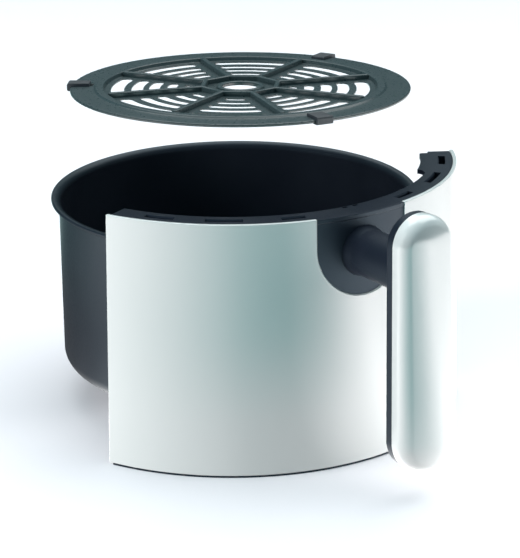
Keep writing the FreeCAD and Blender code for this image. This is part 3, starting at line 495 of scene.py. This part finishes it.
def make_camera():
    """A long lens, a little above the pan and to the left of its handle."""
    data = bpy.data.cameras.new("camera")
    data.sensor_width = SENSOR_WIDTH
    data.lens = LENS
    data.clip_end = VIEW_END
    camera = bpy.data.objects.new("camera", data)
    heading = CAMERA_YAW - CAMERA_AZIMUTH
    forward = Vector((math.sin(heading) * math.cos(CAMERA_PITCH),
                      math.cos(heading) * math.cos(CAMERA_PITCH),
                      -math.sin(CAMERA_PITCH)))
    level = Vector((math.cos(heading), -math.sin(heading), 0))
    upright = level.cross(forward)
    right = level * math.cos(CAMERA_ROLL) + upright * math.sin(CAMERA_ROLL)
    up = upright * math.cos(CAMERA_ROLL) - level * math.sin(CAMERA_ROLL)
    turn = Matrix((right, up, -forward)).transposed().to_4x4()
    place = beside_camera(right=0, ahead=-CAMERA_DISTANCE, up=CAMERA_HEIGHT)
    camera.matrix_world = Matrix.Translation(place) @ turn
    bpy.context.scene.collection.objects.link(camera)
    bpy.context.scene.camera = camera


# ---- studio --------------------------------------------------------------------------------------------

WHITE = (1.0, 1.0, 1.0)
WARM_WHITE = (1.0, 0.99, 0.98)
FLOOR_HALF = 12.0
FLOOR_Z = -0.1 * MM                         # just under the pan's own standing plane
CARD_HALF = 3.0
CARD_Z = 0.5 * MM

# The surround, as (height of the direction, linear colour): dark teal low down, pale blue overhead
SURROUND_LOW = (0.05, (0.03, 0.06, 0.065))
SURROUND_HIGH = (0.75, (0.32, 0.66, 0.74))
SURROUND_STRENGTH = 0.55

# The gloss card by direction. A row holds the turns round the pan, from behind it by way of its left as the
# camera sees it, then the brightness far out, how teal that is, and the brightness near the pan.
GLOSS_STOPS = (
    (0.00, 0.14, 0.3, 0.05),
    (0.06, 0.30, 0.6, 0.03),
    (0.12, 0.04, 1.0, 0.02),
    (0.18, 0.03, 1.0, 0.02),
    (0.23, 0.14, 0.6, 0.03),
    (0.29, 0.45, 0.0, 0.10),
    (0.34, 0.41, 0.0, 0.46),
    (0.42, 0.34, 0.2, 0.42),
    (0.51, 0.23, 1.0, 0.36),
    (0.56, 0.24, 1.0, 0.42),
    (0.60, 0.42, 0.4, 0.70),
    (0.66, 0.88, 0.0, 1.00),
    (0.72, 0.60, 0.0, 0.66),
    (0.86, 0.20, 0.0, 0.26),
    (1.00, 0.12, 0.3, 0.12),
)
GLOSS_STRENGTH = 8.0
NEAR_TABLE = 0.24                           # nearer the pot's axis than this, the near brightness holds
FAR_TABLE = 0.42                            # further out than this, the far brightness holds
TEAL_RED_LOSS = 0.45                        # the share of red that full teal lacks
TEAL_BLUE_LOSS = 0.02                       # and of blue


def stage_square(name, half, height):
    """A flat square of the stage, centred under the pan."""
    mesh = bpy.data.meshes.new(name)
    corners = [(-half, -half, 0), (half, -half, 0), (half, half, 0), (-half, half, 0)]
    mesh.from_pydata(corners, [], [(0, 1, 2, 3)])
    card = bpy.data.objects.new(name, mesh)
    card.location.z = height
    bpy.context.scene.collection.objects.link(card)
    return card


def make_floor():
    """A plain pale floor with a trace of unevenness in its tone. It sends no diffuse light back up."""
    floor = stage_square("floor", FLOOR_HALF, FLOOR_Z)
    material, tree, shader = new_material("pale_floor")
    tone = noise(tree, scale=1.5, detail=2.0)
    colour_by(tree, shader, tone, dark=(0.85, 0.82, 0.86), light=(0.87, 0.84, 0.87))
    shader.inputs["Roughness"].default_value = 0.6
    shader.inputs["Specular IOR Level"].default_value = 0.1
    floor.data.materials.append(material)
    floor.visible_diffuse = False


def turns_round_pan(tree, place):
    """How far round the pan a point of the card lies: 0 behind, 0.25 left, 0.5 in front, 0.75 right."""
    parts = tree.nodes.new("ShaderNodeSeparateXYZ")
    toward = tree.nodes.new("ShaderNodeMath")
    toward.operation = "MULTIPLY"
    toward.inputs[1].default_value = -1.0
    turn = tree.nodes.new("ShaderNodeMath")
    turn.operation = "ARCTAN2"
    tree.links.new(place, parts.inputs["Vector"])
    tree.links.new(parts.outputs["Y"], toward.inputs[0])
    tree.links.new(parts.outputs["X"], turn.inputs[0])
    tree.links.new(toward.outputs["Value"], turn.inputs[1])
    return spread(tree, turn.outputs["Value"], 0.0, 1.0, -math.pi, math.pi)


def nearness(tree, place):
    """1 near the pan, falling to 0 further out on the card."""
    reach = tree.nodes.new("ShaderNodeVectorMath")
    reach.operation = "LENGTH"
    tree.links.new(place, reach.inputs[0])
    return spread(tree, reach.outputs["Value"], 1.0, 0.0, NEAR_TABLE, FAR_TABLE)


def gloss_ramp(tree, turns):
    """A ramp over direction: its colour is the far light, its alpha the near brightness."""
    ramp = tree.nodes.new("ShaderNodeValToRGB")
    stops = ramp.color_ramp.elements
    while len(stops) < len(GLOSS_STOPS):
        stops.new(0.5)
    for stop, (position, light, teal, near_light) in zip(stops, GLOSS_STOPS):
        red = light * (1 - TEAL_RED_LOSS * teal)
        blue = light * (1 - TEAL_BLUE_LOSS * teal)
        stop.position = position
        stop.color = (red, light, blue, near_light)
    tree.links.new(turns, ramp.inputs["Fac"])
    return ramp


def make_gloss_card():
    """A glowing card on the floor that only gloss shows, with its own light for every direction."""
    card = stage_square("gloss_card", CARD_HALF, CARD_Z)
    card.rotation_euler.z = CAMERA_AZIMUTH
    material, tree, _ = new_material("gloss_card")
    tree.nodes.clear()
    place = tree.nodes.new("ShaderNodeTexCoord").outputs["Object"]
    ramp = gloss_ramp(tree, turns_round_pan(tree, place))
    blend = tree.nodes.new("ShaderNodeMix")
    blend.data_type = "RGBA"
    glow = tree.nodes.new("ShaderNodeEmission")
    glow.inputs["Strength"].default_value = GLOSS_STRENGTH
    output = tree.nodes.new("ShaderNodeOutputMaterial")
    tree.links.new(nearness(tree, place), blend.inputs["Factor"])
    tree.links.new(ramp.outputs["Color"], blend.inputs["A"])
    tree.links.new(ramp.outputs["Alpha"], blend.inputs["B"])
    tree.links.new(blend.outputs["Result"], glow.inputs["Color"])
    tree.links.new(glow.outputs["Emission"], output.inputs["Surface"])
    card.data.materials.append(material)
    card.visible_camera = False
    card.visible_diffuse = False
    card.visible_shadow = False
    card.visible_transmission = False


def make_world():
    """The studio's surround, shaded by height."""
    world = bpy.data.worlds.new("studio")
    world.use_nodes = True
    tree = world.node_tree
    direction = tree.nodes.new("ShaderNodeTexCoord")
    parts = tree.nodes.new("ShaderNodeSeparateXYZ")
    tree.links.new(direction.outputs["Generated"], parts.inputs["Vector"])
    colour = blend_colours(tree, parts.outputs["Z"], SURROUND_LOW, SURROUND_HIGH)
    background = tree.nodes["Background"]
    background.inputs["Strength"].default_value = SURROUND_STRENGTH
    tree.links.new(colour, background.inputs["Color"])
    bpy.context.scene.world = world


def area_light(name, place, target, size, power, colour):
    """A soft rectangular light that faces a point."""
    data = bpy.data.lights.new(name, "AREA")
    data.shape = "RECTANGLE"
    data.size, data.size_y = size
    data.energy = power
    data.color = colour
    lamp = bpy.data.objects.new(name, data)
    lamp.location = place
    lamp.rotation_mode = "QUATERNION"
    lamp.rotation_quaternion = (Vector(target) - Vector(place)).to_track_quat("-Z", "Y")
    bpy.context.scene.collection.objects.link(lamp)
    return lamp


def make_lights():
    """A soft box overhead, a little behind, and one on each side that gloss doesn't show."""
    above = beside_camera(right=0.35, ahead=0.8, up=1.9)
    to_left = beside_camera(right=-1.50, ahead=-0.60, up=0.75)
    to_right = beside_camera(right=1.60, ahead=-0.10, up=0.65)
    middle = (0, 0, 0.1)
    area_light("overhead", above, (0, 0, 0), size=(2.8, 2.2), power=48, colour=WARM_WHITE)
    left = area_light("left_box", to_left, middle, size=(0.8, 1.2), power=30, colour=WHITE)
    right = area_light("right_box", to_right, middle, size=(1.2, 1.2), power=10, colour=WHITE)
    left.visible_glossy = False
    right.visible_glossy = False


make_camera()
make_floor()
make_gloss_card()
make_world()
make_lights()
finish_cad_nodes()
panel_piece()
pot_piece()
plain_reflections()

bpy.context.scene.view_settings.view_transform = "Standard"
